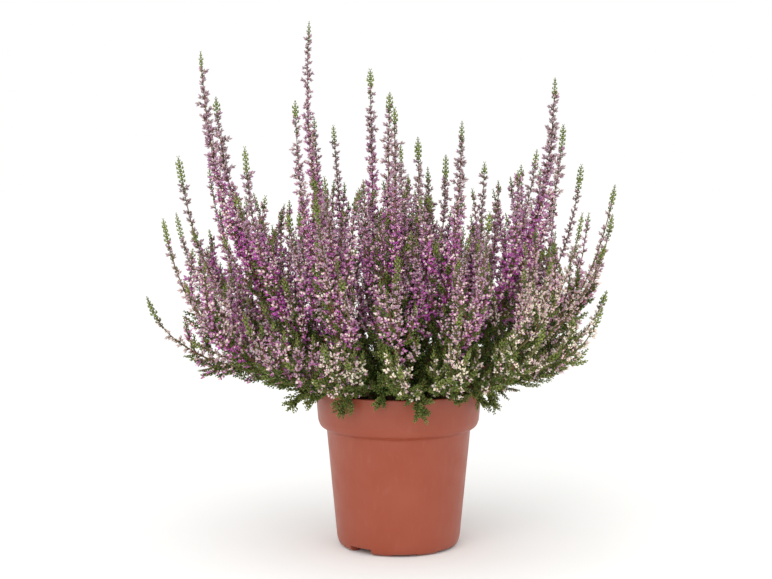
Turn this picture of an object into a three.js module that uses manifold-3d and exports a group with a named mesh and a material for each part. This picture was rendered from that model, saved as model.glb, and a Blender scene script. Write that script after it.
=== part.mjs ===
// Potted heather (Calluna): a bushy plant of arching, flower-covered stems in a round plastic nursery pot.
//
// Frame: millimetres, +Z up. The origin is on the pot's axis, on the surface that the pot stands on.
// The plant spreads furthest along X, and its lower, more open side faces -Y.
//
// Every stem stands in its own hole in the peat. It rises past the rim and bends outward on a cubic curve
// in a plane through the pot's axis, and its side spikes fan out of that plane. A spike's flowers are
// pointed buds raised from a slim core, set in crossed pairs that turn a little from ring to ring.

import * as THREE from "three";
import { mergeVertices } from "three/addons/utils/BufferGeometryUtils.js";
import Module from "manifold-3d";

const wasm = await Module();
wasm.setup();

// ---- Driving dimensions: the pot ----

const RIM_RADIUS = 61.5;
const POT_HEIGHT = 116.5;
const WALL = 1.4;
const COLLAR_FOOT_RADIUS = 59.6;
const COLLAR_FOOT = 93.5;
const CREASE_RADIUS = 53.3;
const CREASE = 86.4;
const BODY_FOOT_RADIUS = 45.8;
const BODY_FOOT = 6.5;
const STAND_OUTER = 41.5;
const STAND_INNER = 37.5;
const FLOOR_UNDER = 4.5;
const FLOOR_TOP = 6;
const CENTRE_FOOT_RADIUS = 9;
const POT_SIDES = 28;

const NOTCHES = 8;
const NOTCH_WIDTH = 18;
const NOTCH_DEPTH = 1.6;
const SLOT_DEPTH = 4.4;
const SLOT_EVERY = 4;
const FIRST_NOTCH_DEG = -39; // from the front, towards +X

const DRAIN_HOLES = 6;
const DRAIN_RADIUS = 4;
const DRAIN_SIDES = 8;
const DRAIN_CIRCLE = 26;

// ---- Driving dimensions: the peat ----

const PEAT_TOP = 106;
const PEAT_GAP = 0.35;
const PEAT_SIDES = 16;
const STEM_HOLE_RADIUS = 2;
const STEM_SIDES = 4;
const STEM_HOLE_DEPTH = 9;
const STEM_HOLE_GAP = 0.3;

// ---- Driving dimensions: the flowering stems ----

// Each ring of stems goes round the pot from azimuth `start` (degrees, 0 at +X, anticlockwise from above).
// `hole` is the ring's radius in the peat. `swing` places the curve's second control point as a share of
// the way from the hole to the tip's reach, and `rise` its height over the peat. `belly` and `lift` place
// the third, as shares of the tip's reach and of its height over the peat. A tip is [reach, height].
const RINGS = [
  {
    name: "arching_stem", hole: 46, start: 0, swing: 0.055, rise: 33, belly: 0.865, lift: -0.015, spikes: 2,
    tips: [
      [155, 190], [184, 244], [170, 215], [165, 235], [170, 205], [165, 230], [175, 210], [190, 245],
      [188, 185], [179, 246], [150, 185], [130, 165], [115, 150], [120, 160], [140, 175], [156, 184],
    ],
  },
  {
    name: "leaning_stem", hole: 32, start: -1, swing: 0.22, rise: 46, belly: 0.87, lift: 0.06, spikes: 2,
    tips: [
      [160, 268], [167, 282], [140, 285], [135, 300], [145, 310], [176, 280],
      [164, 289], [124, 295], [112, 262], [105, 225], [125, 252], [148, 250],
    ],
  },
  {
    name: "tall_stem", hole: 19.5, start: 27, swing: 0.25, rise: 46, belly: 0.95, lift: 0.21, spikes: 3,
    tips: [
      [146, 314], [100, 290], [78, 356], [174, 336], [145, 364],
      [107, 326], [60, 322], [75, 313], [116, 344],
    ],
  },
  {
    name: "heart_stem", hole: 8, start: 52, swing: 0.41, rise: 48, belly: 1.13, lift: 0.37, spikes: 4,
    tips: [[39, 281], [89, 391], [14, 334], [20, 302]],
  },
];

const WOOD_RADIUS = 1.3;
const LIFT_LEAST = 8;
const SWAY_DEG = 6;

// Side spikes leave a stem in turn round it. A spike starts and ends between these shares of its stem's
// curve. Its tip stands off that curve by a part of the angle to the next stem, and by a distance above
// or below.
const SPIKE_FROM = [0.34, 0.54];
const SPIKE_TO = [0.66, 0.9];
const SPIKE_RADIUS = 1;
const SPIKE_ROOT = 18;
const SPIKE_TURN_DEG = 34;
const SPIKE_FAN_SHARE = 0.3; // of the angle to the next stem
const SPIKE_FAN_MOST = 26;
const SPIKE_SPLAY = 8;
const SPIKE_ROUND = [0.25, 0.75]; // where the first one leaves, in steps from one spike to the next

const BARE_WOOD = 14;
const GREEN_TIP = 12;
const TIP_RADIUS = 3.2;

// A zone of a stem: buds or leaf tufts `reach` from the core every `step`, each leaning `lean` forward.
const LEAVES = { core: 1.4, reach: 4, step: 17, lean: 5 };
const FLOWERS = { core: 2, reach: 5.5, step: 13, lean: 3 };
const LEAF_SHARE = 0.3; // of a stem's length
const RING_TURN_DEG = 24;

// ---- Driving dimensions: the leafy shoots round the edge ----

const SHOOTS = 16;
const SHOOT_HOLE = 51;
const SHOOT_REACH = [74, 86];
const SHOOT_HEIGHT = [104, 118];
const SHOOT_CURVE = { swing: 0.08, rise: 29, belly: 0.92, lift: 0.3 };
const SHOOT_CORE = 1.2;
const TWIGS = 2;
const TWIG_FROM = [0.45, 0.85];
const TWIG_RADIUS = 0.8;
const TWIG_ROOT = 3.5;
const TWIG_LENGTH = 13;
const TWIG_SHRINK = 0.7;
const TWIG_ANGLE_DEG = 38;
const SHOOT_LEAVES = { core: 1, reach: 3, step: 8, lean: 3 };
const TWIG_LEAVES = { core: 0.9, reach: 2.4, step: 5, lean: 2.5 };

// ---- Small helpers ----

const rad = THREE.MathUtils.degToRad;
const lerp = THREE.MathUtils.lerp;

// An even spread of values from 0 to 1: the k-th term of one of four irrational steps.
const SPREAD_STEPS = [0.7548776662, 0.569840291, 0.8191725134, 0.6710436067];
const spread = (k, which) => ((k + 1) * SPREAD_STEPS[which]) % 1;

// How far a spike has parted from its stem: it leaves at an angle and ends running alongside.
const parting = (u) => 1 - (1 - u) ** 3;

function cubic(a, b, c, d, t) {
  const s = 1 - t;
  return a * s * s * s + 3 * b * t * s * s + 3 * c * t * t * s + d * t * t * t;
}

// A closed geometry as a solid: vertices merged, faces that collapsed at a pole dropped.
function solidOf(geometry) {
  const bare = new THREE.BufferGeometry().setAttribute("position", geometry.getAttribute("position"));
  if (geometry.index) bare.setIndex(geometry.index);
  const merged = mergeVertices(bare, 1e-4);
  const index = merged.index.array;
  const kept = [];
  for (let i = 0; i < index.length; i += 3) {
    const [a, b, c] = [index[i], index[i + 1], index[i + 2]];
    if (a !== b && b !== c && c !== a) kept.push(a, b, c);
  }
  return new wasm.Manifold(
    new wasm.Mesh({
      numProp: 3,
      vertProperties: merged.getAttribute("position").array,
      triVerts: new Uint32Array(kept),
    }),
  );
}

// The faces of a mesh's longest shell, without the hollows and crumbs that fusing leaves inside it.
function outerShell({ triVerts, vertProperties }) {
  const root = Array.from({ length: vertProperties.length / 3 }, (_, i) => i);
  const find = (i) => {
    while (root[i] !== i) i = root[i] = root[root[i]];
    return i;
  };
  for (let i = 0; i < triVerts.length; i += 3) {
    root[find(triVerts[i + 1])] = find(triVerts[i]);
    root[find(triVerts[i + 2])] = find(triVerts[i]);
  }
  const shells = new Map();
  for (let i = 0; i < triVerts.length; i += 3) {
    const shell = find(triVerts[i]);
    if (!shells.has(shell)) shells.set(shell, []);
    shells.get(shell).push(...triVerts.subarray(i, i + 3));
  }
  return [...shells.values()].reduce((a, b) => (a.length > b.length ? a : b));
}

function geometryOf(solid) {
  const mesh = solid.getMesh();
  const geometry = new THREE.BufferGeometry();
  geometry.setAttribute("position", new THREE.BufferAttribute(mesh.vertProperties, 3));
  geometry.setIndex(outerShell(mesh));
  const faceted = geometry.toNonIndexed();
  faceted.computeVertexNormals();
  return faceted;
}

// A solid of revolution about Z, from [radius, height] points that start and end on the axis.
function turned(points, sides) {
  const profile = points.map(([radius, height]) => new THREE.Vector2(radius, height));
  return new THREE.LatheGeometry(profile, sides).rotateX(Math.PI / 2);
}

function upright(radius, height, sides) {
  return new THREE.CylinderGeometry(radius, radius, height, sides).rotateX(Math.PI / 2);
}

// ---- Pot ----

function potProfile() {
  const innerCrease = CREASE_RADIUS - WALL + 0.2;
  return [
    [0, 0],
    [CENTRE_FOOT_RADIUS, 0],
    [CENTRE_FOOT_RADIUS + 1, FLOOR_UNDER],
    [STAND_INNER - 1, FLOOR_UNDER],
    [STAND_INNER, 0],
    [STAND_OUTER, 0],
    [STAND_OUTER + 3, 1.7],
    [BODY_FOOT_RADIUS, BODY_FOOT],
    [CREASE_RADIUS, CREASE],
    [COLLAR_FOOT_RADIUS - 1.6, CREASE + 3],
    [COLLAR_FOOT_RADIUS, COLLAR_FOOT],
    [RIM_RADIUS, POT_HEIGHT - 0.6],
    [RIM_RADIUS - 0.5, POT_HEIGHT],
    [RIM_RADIUS - WALL, POT_HEIGHT],
    [COLLAR_FOOT_RADIUS - WALL, COLLAR_FOOT],
    [innerCrease, CREASE + 0.4],
    [BODY_FOOT_RADIUS - WALL, BODY_FOOT + 1],
    [BODY_FOOT_RADIUS - WALL - 1, FLOOR_TOP],
    [0, FLOOR_TOP],
  ];
}

function potSolid() {
  let pot = solidOf(turned(potProfile(), POT_SIDES));
  for (let i = 0; i < NOTCHES; i++) {
    const angle = rad(FIRST_NOTCH_DEG + (i * 360) / NOTCHES);
    const depth = i % SLOT_EVERY === 0 ? SLOT_DEPTH : NOTCH_DEPTH;
    const cutter = new THREE.BoxGeometry(NOTCH_WIDTH, BODY_FOOT_RADIUS, 2 * depth)
      .translate(0, -BODY_FOOT_RADIUS, 0)
      .rotateZ(angle);
    pot = pot.subtract(solidOf(cutter));
  }
  for (let i = 0; i < DRAIN_HOLES; i++) {
    const cutter = upright(DRAIN_RADIUS, 4 * (FLOOR_TOP - FLOOR_UNDER), DRAIN_SIDES)
      .translate(DRAIN_CIRCLE, 0, FLOOR_TOP)
      .rotateZ((i * 2 * Math.PI) / DRAIN_HOLES);
    pot = pot.subtract(solidOf(cutter));
  }
  return pot;
}

// ---- Peat, with a plain hole for each stem ----

function peatSolid(stems) {
  const wall = WALL + PEAT_GAP;
  const brink = COLLAR_FOOT_RADIUS - wall - 0.3;
  const body = turned(
    [
      [0, FLOOR_TOP + PEAT_GAP],
      [BODY_FOOT_RADIUS - wall - 2, FLOOR_TOP + PEAT_GAP],
      [BODY_FOOT_RADIUS - wall, BODY_FOOT + 2],
      [CREASE_RADIUS - wall, CREASE + 1],
      [brink, COLLAR_FOOT],
      [brink, PEAT_TOP - 1.5],
      [brink - 3, PEAT_TOP],
      [0, PEAT_TOP],
    ],
    PEAT_SIDES,
  );
  let peat = solidOf(body);
  for (const { hole, azimuth } of stems) {
    const cutter = upright(STEM_HOLE_RADIUS, 2 * (STEM_HOLE_DEPTH + STEM_HOLE_GAP), STEM_SIDES)
      .rotateZ(Math.PI / 2)
      .translate(hole, 0, PEAT_TOP)
      .rotateZ(azimuth);
    peat = peat.subtract(solidOf(cutter));
  }
  return peat;
}

// ---- Stems ----

// The line of a stem or of one of its spikes, from share `from` to share `to` of the stem's own curve.
// A spike's tip stands off that curve by the angle `fan` and the distance `splay`.
class StemLine extends THREE.Curve {
  constructor(stem, from = 0, to = 1, fan = 0, splay = 0) {
    super();
    Object.assign(this, { stem, from, to, fan, splay });
  }

  azimuthAt(u) {
    const t = lerp(this.from, this.to, u);
    return this.stem.azimuth + this.stem.sway * Math.sin(Math.PI * t) + this.fan * parting(u);
  }

  getPoint(u, target = new THREE.Vector3()) {
    const { hole, reach, height, swing, rise, belly, lift } = this.stem;
    const t = lerp(this.from, this.to, u);
    const azimuth = this.azimuthAt(u);
    const low = PEAT_TOP + (height - PEAT_TOP) * lift + LIFT_LEAST;
    const off = this.splay * parting(u);
    const radius = cubic(hole, lerp(hole, reach, swing), reach * belly, reach, t) - off;
    const z = cubic(PEAT_TOP, PEAT_TOP + rise, low, height, t) + off;
    return target.set(radius * Math.cos(azimuth), radius * Math.sin(azimuth), z);
  }
}

// Stations along a line: where each ring of the skin is, and how far its core and its buds reach.
function stations(zone, from, to) {
  const count = Math.max(1, Math.round((to - from) / zone.step));
  const made = [];
  for (let i = 0; i < count; i++) {
    made.push({ at: lerp(from, to, i / count), core: zone.core, reach: zone.reach, lean: zone.lean });
  }
  return made;
}

const plain = (at, radius) => ({ at, core: radius, reach: radius, lean: 0 });

function budded(from, to) {
  return [
    ...stations(FLOWERS, from, to - GREEN_TIP),
    { at: to - GREEN_TIP, core: 1.2, reach: TIP_RADIUS, lean: GREEN_TIP / 4 },
  ];
}

// A closed skin over a line: rings of four corners, every other one raised into a pointed bud.
function skin(line, length, plan, turn) {
  const corners = [];
  const faces = [];
  const out = new THREE.Vector3();
  plan.forEach((ring, k) => {
    const u = THREE.MathUtils.clamp(ring.at / length, 0, 1);
    const centre = line.getPointAt(u);
    const along = ring.at < 0 ? new THREE.Vector3(0, 0, 1) : line.getTangentAt(u);
    if (ring.at < 0) centre.z += ring.at;
    const azimuth = line.azimuthAt(line.getUtoTmapping(u));
    const across = new THREE.Vector3(-Math.sin(azimuth), Math.cos(azimuth), 0);
    across.addScaledVector(along, -across.dot(along)).normalize();
    const up = new THREE.Vector3().crossVectors(across, along);
    for (let j = 0; j < 4; j++) {
      const angle = (j * Math.PI) / 2 + turn + k * rad(RING_TURN_DEG);
      const raised = (j + k) % 2 === 0;
      const reach = raised ? ring.reach : ring.core;
      out.copy(up).multiplyScalar(Math.cos(angle)).addScaledVector(across, Math.sin(angle));
      corners.push(centre.clone().addScaledVector(out, reach).addScaledVector(along, raised ? ring.lean : 0));
    }
  });
  corners.push(line.getPointAt(1));
  faces.push(0, 2, 1, 0, 3, 2);
  for (let k = 0; k + 1 < plan.length; k++) {
    for (let j = 0; j < 4; j++) {
      const [a0, a1] = [4 * k + j, 4 * k + ((j + 1) % 4)];
      const [b0, b1] = [a0 + 4, a1 + 4];
      if ((j + k) % 2 === 0) faces.push(a0, a1, b0, a1, b1, b0);
      else faces.push(a0, a1, b1, a0, b1, b0);
    }
  }
  const last = 4 * (plan.length - 1);
  for (let j = 0; j < 4; j++) faces.push(last + j, last + ((j + 1) % 4), corners.length - 1);
  const geometry = new THREE.BufferGeometry().setFromPoints(corners);
  geometry.setIndex(faces);
  return solidOf(geometry);
}

function floweringStem(stem, k) {
  const line = new StemLine(stem);
  const length = line.getLength();
  const bloomFrom = Math.max(BARE_WOOD + LEAVES.step, length * LEAF_SHARE);
  const plan = [
    plain(-STEM_HOLE_DEPTH, WOOD_RADIUS),
    plain(0, WOOD_RADIUS),
    ...stations(LEAVES, BARE_WOOD, bloomFrom),
    ...budded(bloomFrom, length),
  ];
  let made = skin(line, length, plan, 0);
  for (let i = 0; i < stem.spikes; i++) {
    const round = ((i + lerp(...SPIKE_ROUND, spread(k, 3))) / stem.spikes) * 2 * Math.PI;
    const from = lerp(...SPIKE_FROM, spread(3 * k + i, 1));
    const to = lerp(...SPIKE_TO, spread(3 * k + i, 2));
    const spike = new StemLine(stem, from, to, stem.fan * Math.sin(round), SPIKE_SPLAY * Math.cos(round));
    const reach = spike.getLength();
    const spikePlan = [plain(0, SPIKE_RADIUS), ...budded(SPIKE_ROOT, reach)];
    made = made.add(skin(spike, reach, spikePlan, rad(SPIKE_TURN_DEG)));
  }
  return made;
}

function floweringStems() {
  const stems = [];
  for (const ring of RINGS) {
    const pitch = rad(360 / ring.tips.length);
    ring.tips.forEach(([reach, height], i) => {
      const fan = Math.min(pitch * SPIKE_FAN_SHARE, SPIKE_FAN_MOST / reach);
      const azimuth = rad(ring.start) + i * pitch;
      const sway = rad(SWAY_DEG) * (spread(stems.length, 0) - 0.5);
      const name = `${ring.name}_${String(i + 1).padStart(2, "0")}`;
      stems.push({ ...ring, name, azimuth, reach, height, fan, sway });
    });
  }
  return stems;
}

// ---- Leafy shoots that hang over the rim, between the arching stems ----

// A twig's straight line out of a shoot.
class TwigLine extends THREE.LineCurve3 {
  constructor(from, to, azimuth) {
    super(from, to);
    this.azimuth = azimuth;
  }

  azimuthAt() {
    return this.azimuth;
  }
}

function edgeShoots() {
  const pitch = (2 * Math.PI) / SHOOTS;
  return Array.from({ length: SHOOTS }, (_, i) => ({
    name: `leafy_shoot_${String(i + 1).padStart(2, "0")}`,
    azimuth: (i + 0.5) * pitch,
    sway: 0,
    hole: SHOOT_HOLE,
    reach: lerp(...SHOOT_REACH, spread(i, 0)),
    height: lerp(...SHOOT_HEIGHT, spread(i, 1)),
    ...SHOOT_CURVE,
  }));
}

function leafyShoot(shoot) {
  const line = new StemLine(shoot);
  const length = line.getLength();
  const plan = [
    plain(-STEM_HOLE_DEPTH, SHOOT_CORE),
    plain(0, SHOOT_CORE),
    ...stations(SHOOT_LEAVES, BARE_WOOD, length - 4),
  ];
  let made = skin(line, length, plan, 0);
  for (let i = 0; i < TWIGS; i++) {
    const u = lerp(...TWIG_FROM, i / (TWIGS - 1));
    const side = i % 2 === 0 ? 1 : -1;
    const azimuth = line.azimuthAt(u);
    const from = line.getPointAt(u);
    const along = line.getTangentAt(u);
    const across = new THREE.Vector3(-Math.sin(azimuth), Math.cos(azimuth), 0);
    const heading = along.multiplyScalar(Math.cos(rad(TWIG_ANGLE_DEG)));
    heading.addScaledVector(across, side * Math.sin(rad(TWIG_ANGLE_DEG)));
    const twigLength = TWIG_LENGTH * lerp(1, TWIG_SHRINK, u);
    const twig = new TwigLine(from, from.clone().addScaledVector(heading, twigLength), azimuth);
    const twigPlan = [plain(0, TWIG_RADIUS), ...stations(TWIG_LEAVES, TWIG_ROOT, twigLength)];
    made = made.add(skin(twig, twigLength, twigPlan, rad(SPIKE_TURN_DEG)));
  }
  return made;
}

// ---- Assembly ----

const heather = new THREE.Group();

function addPart(name, solid, material) {
  const mesh = new THREE.Mesh(geometryOf(solid), material);
  mesh.name = name;
  heather.add(mesh);
}

const terracottaPlastic = new THREE.MeshStandardMaterial({ color: 0xa85a48, roughness: 0.5, metalness: 0 });
const peatMoss = new THREE.MeshStandardMaterial({ color: 0x2b1d14, roughness: 0.95, metalness: 0 });
const flowers = new THREE.MeshStandardMaterial({ color: 0xa562a0, roughness: 0.8, metalness: 0 });
const foliage = new THREE.MeshStandardMaterial({ color: 0x47602a, roughness: 0.8, metalness: 0 });

const stems = floweringStems();
const shoots = edgeShoots();

addPart("pot", potSolid(), terracottaPlastic);
addPart("peat", peatSolid([...stems, ...shoots]), peatMoss);
stems.forEach((stem, k) => addPart(stem.name, floweringStem(stem, k), flowers));
shoots.forEach((shoot) => addPart(shoot.name, leafyShoot(shoot), foliage));

export default heather;
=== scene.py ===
"""A potted heather: flowering stems and leafy shoots that stand in peat in a round moulded nursery pot.

The plant's skeleton is worked out in millimetres from the same rules as its solids. One Geometry Nodes
tree then grows bark, buds and scale leaves along the skeleton's lines.
"""

import math
import random
from bisect import bisect_left
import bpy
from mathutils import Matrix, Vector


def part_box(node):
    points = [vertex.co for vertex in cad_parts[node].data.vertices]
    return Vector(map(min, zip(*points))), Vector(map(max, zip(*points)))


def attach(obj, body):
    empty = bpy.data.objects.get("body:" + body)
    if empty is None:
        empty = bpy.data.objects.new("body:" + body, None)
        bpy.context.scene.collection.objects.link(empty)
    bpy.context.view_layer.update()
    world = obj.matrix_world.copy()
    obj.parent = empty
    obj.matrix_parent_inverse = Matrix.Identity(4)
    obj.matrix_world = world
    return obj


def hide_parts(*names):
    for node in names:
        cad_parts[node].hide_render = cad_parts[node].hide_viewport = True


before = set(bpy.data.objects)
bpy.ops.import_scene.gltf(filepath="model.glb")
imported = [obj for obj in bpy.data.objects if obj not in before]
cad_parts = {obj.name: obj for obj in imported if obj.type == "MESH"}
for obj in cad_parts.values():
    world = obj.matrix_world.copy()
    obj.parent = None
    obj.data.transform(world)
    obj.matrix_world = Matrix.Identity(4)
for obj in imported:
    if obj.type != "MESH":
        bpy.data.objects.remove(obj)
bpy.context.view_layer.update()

from types import SimpleNamespace

import bmesh
import bpy
from bpy.props import FloatProperty, FloatVectorProperty, IntProperty, PointerProperty
from bpy.types import Operator, Panel, PropertyGroup
from mathutils import Matrix, Vector, noise

bl_info = {
    "name": "Potted heather",
    "version": (1, 0, 0),
    "blender": (4, 5, 0),
    "location": "View3D > Sidebar > Heather",
    "description": "Dresses a potted heather: pot, peat, flowering stems and leafy shoots",
    "category": "Object",
}

MM = 0.001
BODY = "root"

# ---- The pot, in millimetres ----

POT_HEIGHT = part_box("pot")[1].z / MM
RIM_RADIUS = 61.5
WALL = 1.4
COLLAR_FOOT_RADIUS = 59.6
COLLAR_FOOT = 93.5
CREASE_RADIUS = 53.3
CREASE = 86.4
BODY_FOOT_RADIUS = 45.8
BODY_FOOT = 6.5
STAND_OUTER = 41.5
STAND_INNER = 37.5
FLOOR_UNDER = 4.5
FLOOR_TOP = 6
CENTRE_FOOT_RADIUS = 9
NOTCHES = 8
NOTCH_HALF_DEG = 12.4
NOTCH_DEPTH = 1.6
SLOT_DEPTH = 4.4
SLOT_EVERY = 4
FIRST_NOTCH_DEG = -39 - 90  # -39 degrees from the front, which faces -Y
DRAIN_HOLES = 6
DRAIN_RADIUS = 4
DRAIN_CIRCLE = 26

# ---- The skeleton of the plant, in millimetres, by the rules of its solids ----

PEAT_TOP = 106
PEAT_GAP = 0.35
STEM_ROOT = 6  # how far a stem goes down into the peat

# Rings of stems: name, radius of the ring in the peat, first azimuth in degrees, the swing, rise, belly and
# lift of the curve, spikes a stem, and each stem's tip as (reach from the axis, height).
RINGS = (
    ("arching", 46, 0, (0.055, 33, 0.865, -0.015), 2, (
        (155, 190), (184, 244), (170, 215), (165, 235), (170, 205), (165, 230), (175, 210), (190, 245),
        (188, 185), (179, 246), (150, 185), (130, 165), (115, 150), (120, 160), (140, 175), (156, 184))),
    ("leaning", 32, -1, (0.22, 46, 0.87, 0.06), 2, (
        (160, 268), (167, 282), (140, 285), (135, 300), (145, 310), (176, 280),
        (164, 289), (124, 295), (112, 262), (105, 225), (125, 252), (148, 250))),
    ("tall", 19.5, 27, (0.25, 46, 0.95, 0.21), 3, (
        (146, 314), (100, 290), (78, 356), (174, 336), (145, 364),
        (107, 326), (60, 322), (75, 313), (116, 344))),
    ("heart", 8, 52, (0.41, 48, 1.13, 0.37), 4, ((39, 281), (89, 391), (14, 334), (20, 302))),
)
LIFT_LEAST = 8
SWAY_DEG = 6
SPIKE_FROM = (0.34, 0.54)
SPIKE_TO = (0.66, 0.9)
SPIKE_ROOT = 18
SPIKE_FAN_SHARE = 0.3
SPIKE_FAN_MOST = 26
SPIKE_SPLAY = 8
SPIKE_ROUND = (0.25, 0.75)
BARE_WOOD = 14
LEAF_STEP = 17
LEAF_SHARE = 0.3
GREEN_TIP = 12

SHOOTS = 16
SHOOT_HOLE = 51
SHOOT_REACH = (74, 86)
SHOOT_HEIGHT = (104, 118)
SHOOT_CURVE = (0.08, 29, 0.92, 0.3)

SPREAD_STEPS = (0.7548776662, 0.569840291, 0.8191725134, 0.6710436067)
GOLDEN_DEG = 137.508


def linear(srgb):
    """An sRGB hex colour such as "A85A46" as linear red, green, blue and alpha."""
    parts = [int(srgb[i:i + 2], 16) / 255 for i in (0, 2, 4)]
    return tuple(c / 12.92 if c <= 0.04045 else ((c + 0.055) / 1.055) ** 2.4 for c in parts) + (1.0,)


def amount(name, description, default, unit="NONE"):
    """A setting that isn't below 0."""
    return FloatProperty(name=name, description=description, default=default, min=0, unit=unit)


def size(name, description, default):
    """A length setting, given in millimetres and held in metres."""
    return amount(name, description, default * MM, "LENGTH")


def colour(name, description, default):
    """A colour setting, given as sRGB hex and held as linear."""
    return FloatVectorProperty(name=name, description=description, default=linear(default), size=4,
                               min=0, max=1, subtype="COLOR")


class PotSettings(PropertyGroup):
    """Sizes and colours of the pot and of the peat in it."""

    corner: size("Corner radius", "Rounding of the pot's moulded corners", 1.5)
    plastic: colour("Plastic", "Terracotta-coloured plastic", "8F3E24")
    plastic_worn: colour("Plastic, paler", "The plastic where it is a little scuffed", "9A503C")
    crumb: size("Crumb", "Usual radius of a crumb of peat", 0.9)
    crumbs: IntProperty(name="Crumbs", description="Crumbs of peat to a square metre", default=45000, min=0)
    peat_dark: colour("Peat, dark", "Moist peat in the hollows", "1B120C")
    peat_light: colour("Peat, light", "Drier peat and fibres", "4A3423")


class PlantSettings(PropertyGroup):
    """Sizes and colours of the stems, the flower buds and the leaves."""

    bud_spacing: size("Bud spacing", "Distance along a spike from one cluster of buds to the next", 2)
    leaf_spacing: size("Leaf spacing", "Distance along a twig from one pair of leaves to the next", 1.6)
    bark_step: size("Bark step", "Distance between the bark's rings", 6)
    bud_base: colour("Bud, base", "Cream base of a flower bud", "FFEBE2")
    bud_pale: colour("Bud, whitish", "Greenish cream of the buds on whitish spikes", "EFE4CC")
    bud_pink: colour("Bud, pale", "Pale pink flank of a flower bud", "DE88C8")
    bud_purple: colour("Bud, ripe", "Purple-magenta of a ripe flower bud", "A8309C")
    bud_dull: colour("Bud, faded", "Greyish mauve of the highest buds", "9A868A")
    leaf_dark: colour("Leaf, old", "Old scale leaves low in the plant", "264A0A")
    leaf_light: colour("Leaf, new", "New leaves at the tips", "808C46")
    leaf_point: colour("Leaf, point", "Yellowish point of a scale leaf", "7E8A3E")
    leaf_mauve: colour("Leaf, mauve", "Bracts, and leaves among faded buds", "705250")
    wood_dark: colour("Wood, dark", "Furrows of the bark", "3E241B")
    wood_red: colour("Wood, red", "Reddish-brown young bark", "84503F")
    wood_green: colour("Wood, green", "New wood towards the tips", "6C7440")


class StageSettings(PropertyGroup):
    """Settings of the floor and the lights."""

    floor: colour("Floor", "Matte pale floor", "F4F4F2")
    sky: amount("Room light", "Strength of the even light all round", 1)
    overhead: amount("Overhead light", "Strength of the wide light from above", 0.5)
    key: amount("Key light", "Power of the large soft light", 12.5, "POWER")
    fill: amount("Fill light", "Power of the weaker light on the other side", 5, "POWER")


# ---- Small helpers ----


def add(tree, kind, inputs=(), **settings):
    """Adds a node, sets it, and fills its inputs, which are given by the socket's identifier.

    An input may be a value, a socket, or a node, whose first output in use is then linked. It may be a
    list of these for a socket that takes several links.
    """
    node = tree.nodes.new(kind)
    for name, value in settings.items():
        setattr(node, name, value)
    sockets = {socket.identifier: socket for socket in node.inputs}
    for name, given in dict(inputs).items():
        for value in given if isinstance(given, list) else [given]:
            if isinstance(value, bpy.types.Node):
                value = next(socket for socket in value.outputs if socket.enabled)
            if isinstance(value, bpy.types.NodeSocket):
                tree.links.new(value, sockets[name])
            else:
                sockets[name].default_value = value
    return node


def lerp(a, b, t):
    return a + (b - a) * t


def ease(low, high, value):
    """0 below low, 1 above high, and smooth between them."""
    t = min(1, max(0, (value - low) / (high - low)))
    return t * t * (3 - 2 * t)


def spread(k, which):
    """An even but irregular spread over 0 to 1, by the k-th term of one of four sequences."""
    return ((k + 1) * SPREAD_STEPS[which]) % 1


def parting(u):
    """How far a spike has parted from its stem at a share of its length."""
    return 1 - (1 - u) ** 3


def cubic(a, b, c, d, t):
    """A cubic Bezier curve through a and d."""
    s = 1 - t
    return a * s * s * s + 3 * b * t * s * s + 3 * c * t * t * s + d * t * t * t


def shown(name, data):
    """A new object in the scene."""
    made = bpy.data.objects.new(name, data)
    bpy.context.scene.collection.objects.link(made)
    return made


def place(name, mesh, nodes):
    """Puts a finished mesh in the scene as a piece that stands for CAD nodes."""
    piece = shown(name, mesh)
    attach(piece, BODY)
    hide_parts(*nodes)


def as_mesh(name, form):
    """The mesh of a finished bmesh."""
    mesh = bpy.data.meshes.new(name)
    form.to_mesh(mesh)
    form.free()
    return mesh


def mesh_of(name, points, edges, faces, traits):
    """A mesh of points in millimetres, which hold a number for each trait."""
    mesh = bpy.data.meshes.new(name)
    mesh.from_pydata([p * MM for p in points], edges, faces)
    for trait, values in traits.items():
        mesh.attributes.new(trait, "FLOAT", "POINT").data.foreach_set("value", values)
    return mesh


def evaluated(carrier):
    """The plain mesh of an object with its modifiers applied, in place of the object."""
    depsgraph = bpy.context.evaluated_depsgraph_get()
    mesh = bpy.data.meshes.new_from_object(
        carrier.evaluated_get(depsgraph), preserve_all_data_layers=True, depsgraph=depsgraph)
    mesh.name = carrier.name
    carrier.modifiers.clear()
    bpy.data.objects.remove(carrier)
    return mesh


def grown(name, source, tree, values):
    """The plain mesh that a Geometry Nodes tree makes of a source mesh, with its inputs set by name."""
    carrier = shown(name, source)
    modifier = carrier.modifiers.new("Growth", "NODES")
    modifier.node_group = tree
    for item in tree.interface.items_tree:
        if item.name in values:
            modifier[item.identifier] = values[item.name]
    return evaluated(carrier)


def new_tree(name, inputs):
    """An empty Geometry Nodes tree with these inputs, and its group input's sockets by name."""
    tree = bpy.data.node_groups.new(name, "GeometryNodeTree")
    tree.interface.new_socket("Geometry", in_out="INPUT", socket_type="NodeSocketGeometry")
    tree.interface.new_socket("Geometry", in_out="OUTPUT", socket_type="NodeSocketGeometry")
    for label, kind in inputs.items():
        tree.interface.new_socket(label, in_out="INPUT", socket_type="NodeSocket" + kind)
    given = {socket.name: socket for socket in tree.nodes.new("NodeGroupInput").outputs}
    return tree, given


# ---- Materials ----

SPAN = ("Value", "From Min", "From Max", "To Min", "To Max")  # the inputs of a Map Range node


def new_material(name):
    """A node material and its empty tree."""
    material = bpy.data.materials.new(name)
    material.use_nodes = True
    material.node_tree.nodes.clear()
    return material, material.node_tree


def shaded(material, inputs):
    """The material, with its surface given by the inputs of its shader."""
    shader = add(material.node_tree, "ShaderNodeBsdfPrincipled", inputs)
    add(material.node_tree, "ShaderNodeOutputMaterial", {"Surface": shader})
    return material


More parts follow.
